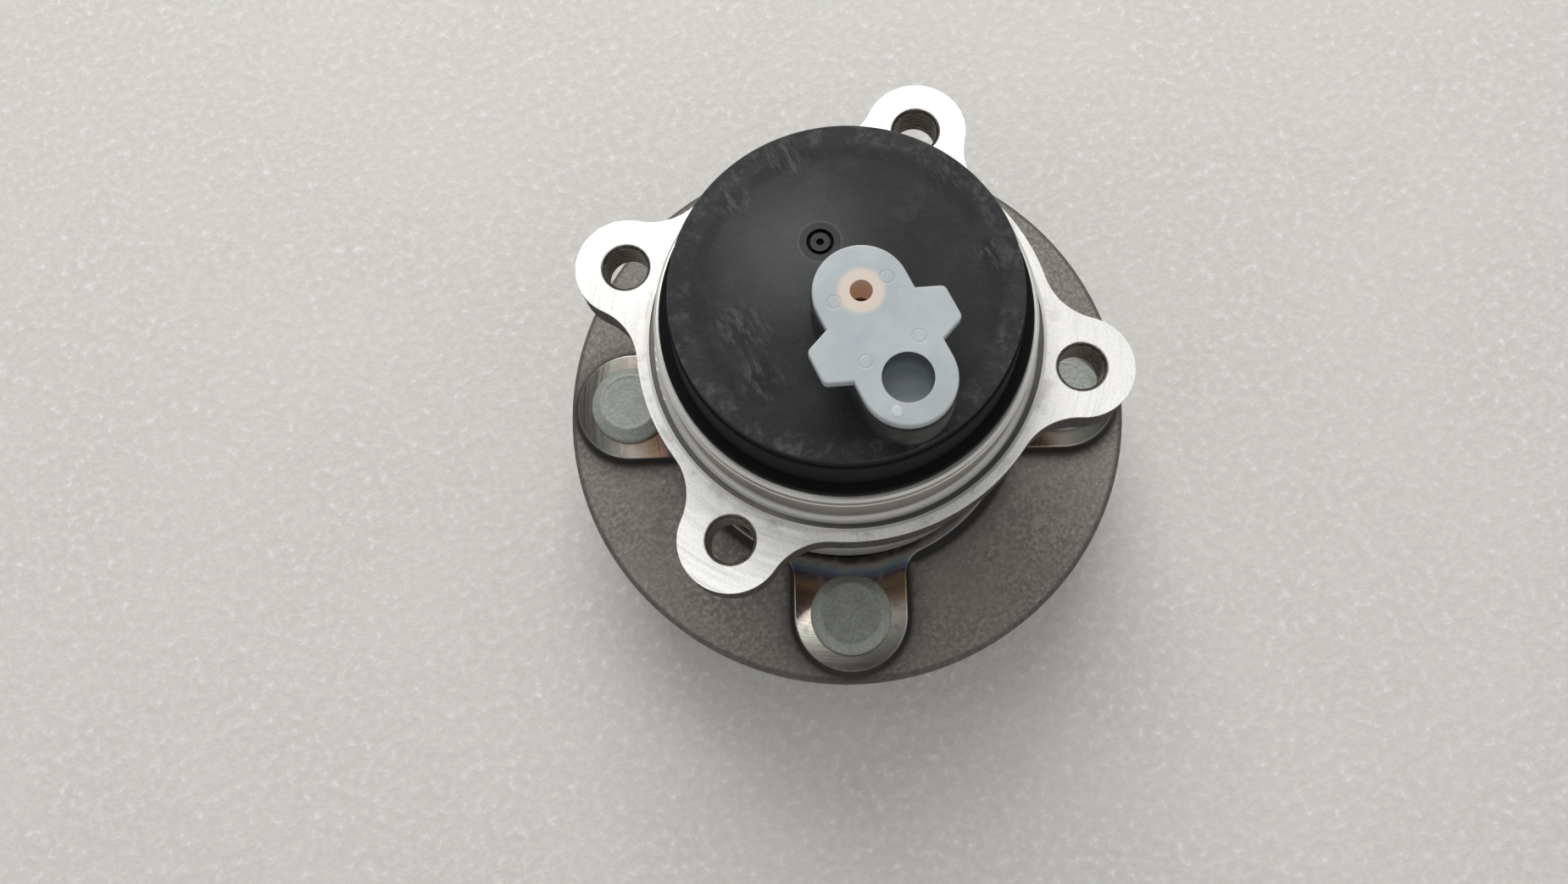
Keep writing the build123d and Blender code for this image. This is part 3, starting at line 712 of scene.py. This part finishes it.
for number in range(1, wheelStud["count"] + 1):
    pickObject(pattern)
    bpy.ops.object.duplicate(linked=False)
    stud = bpy.context.object
    stud.name = "threadedStud%d" % number
    angle = math.radians(hubFlange["studAngle"] + 360 / wheelStud["count"] * (number - 1))
    outward = Vector((math.cos(angle), math.sin(angle), 0))
    stud.location = outward * hubFlange["studCircle"] * mm
    stud.rotation_euler = (0, 0, angle)
    bpy.ops.object.transform_apply(location=True, rotation=True)
    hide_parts("wheel_stud_%d" % number)
    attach(stud, "hub")
bpy.data.objects.remove(pattern)
print("studs are threaded")


# floor: pale foam sheet

floorSheet = {
    "height": -30.0,
    "radius": 4000.0,
    "sides": 96,
    "pale": (219, 217, 212),
    "shade": (208, 206, 201),
    "speckGlint": (236, 235, 232),
}


def foam():
    s = Shader("foam")
    fine = s.noise(0.4, 5.0, 0.66)
    cloud = s.noise(0.02, 3.0)
    color = s.mix(s.rise(fine, 0.38, 0.66), floorSheet["shade"], floorSheet["pale"])
    # pale specks in the foam, partly painted glints
    color = s.mix(s.rise(fine, 0.58, 0.7, 0.0, 0.9), color, floorSheet["speckGlint"])
    color = s.mix(s.rise(cloud, 0.35, 0.7, 0.0, 0.35), color, floorSheet["pale"])
    s.bump(fine, 0.4)
    return s.finish(color, 0.0, 0.75)


bpy.ops.object.select_all(action="DESELECT")
bpy.ops.mesh.primitive_circle_add(vertices=floorSheet["sides"], radius=floorSheet["radius"] * mm,
                                  fill_type="NGON", location=(0, 0, floorSheet["height"] * mm))
floor = bpy.context.object
floor.name = "floor"
floor.data.materials.append(foam())


# light: a softbox above and behind, a dim panel overhead, and a room that is darker overhead

lamps = {
    "softbox": {"at": (0.22, 0.67, 0.91), "size": (0.75, 0.6), "power": 7.6},
    "panel": {"at": (-0.03, 0.18, 1.1), "size": (0.15, 0.19), "power": 0.35},
}
room = {
    "soft": 0.51,
    "walls": 0.75,
    "wallsTop": 0.35,
    "overhead": 0.17,
    "overheadStart": 0.9,
}

for name, lamp in lamps.items():
    bpy.ops.object.light_add(type="AREA", location=lamp["at"])
    light = bpy.context.object
    light.name = name
    light.data.shape = "RECTANGLE"
    light.data.size, light.data.size_y = lamp["size"]
    light.data.energy = lamp["power"]
    light.rotation_euler = (-Vector(lamp["at"])).to_track_quat("-Z", "Y").to_euler()

world = bpy.context.scene.world or bpy.data.worlds.new("world")
bpy.context.scene.world = world
world.use_nodes = True
air = world.node_tree
sky = air.nodes["Background"]
sky.inputs["Color"].default_value = (1, 1, 1, 1)
direction = air.nodes.new("ShaderNodeSeparateXYZ")
air.links.new(air.nodes.new("ShaderNodeTexCoord").outputs["Generated"], direction.inputs[0])
seen = air.nodes.new("ShaderNodeMapRange")
air.links.new(direction.outputs["Z"], seen.inputs["Value"])
seen.inputs["From Min"].default_value = room["wallsTop"]
seen.inputs["From Max"].default_value = room["overheadStart"]
seen.inputs["To Min"].default_value = room["walls"]
seen.inputs["To Max"].default_value = room["overhead"]
# even light on dull surfaces, walls and a dark ceiling in glossy ones
choose = air.nodes.new("ShaderNodeMix")
air.links.new(air.nodes.new("ShaderNodeLightPath").outputs["Is Diffuse Ray"], choose.inputs[0])
air.links.new(seen.outputs["Result"], choose.inputs[2])
choose.inputs[3].default_value = room["soft"]
air.links.new(choose.outputs[0], sky.inputs["Strength"])
print("floor and lamps are in place")


# camera

cameraView = {
    "at": (-37.3, -72.2, 288.6),
    "turn": -23.886,
    "tilt": 14.45,
    "yaw": 1.92,
    "roll": -2.89,
    "lens": 28.49,
    "sensor": 36.0,
    "nearest": 10.0,
}


def turnAbout(angle, axis):
    return Matrix.Rotation(math.radians(cameraView[angle]), 3, axis)


bpy.ops.object.camera_add()
camera = bpy.context.object
facing = turnAbout("turn", "Z") @ turnAbout("tilt", "X") @ turnAbout("yaw", "Y") @ turnAbout("roll", "Z")
camera.location = Vector(cameraView["at"]) * mm
camera.rotation_euler = facing.to_euler()
camera.data.lens = cameraView["lens"]
camera.data.sensor_width = cameraView["sensor"]
camera.data.clip_start = cameraView["nearest"] * mm
bpy.context.scene.camera = camera
bpy.context.scene.view_settings.view_transform = "Standard"
print("camera is set")
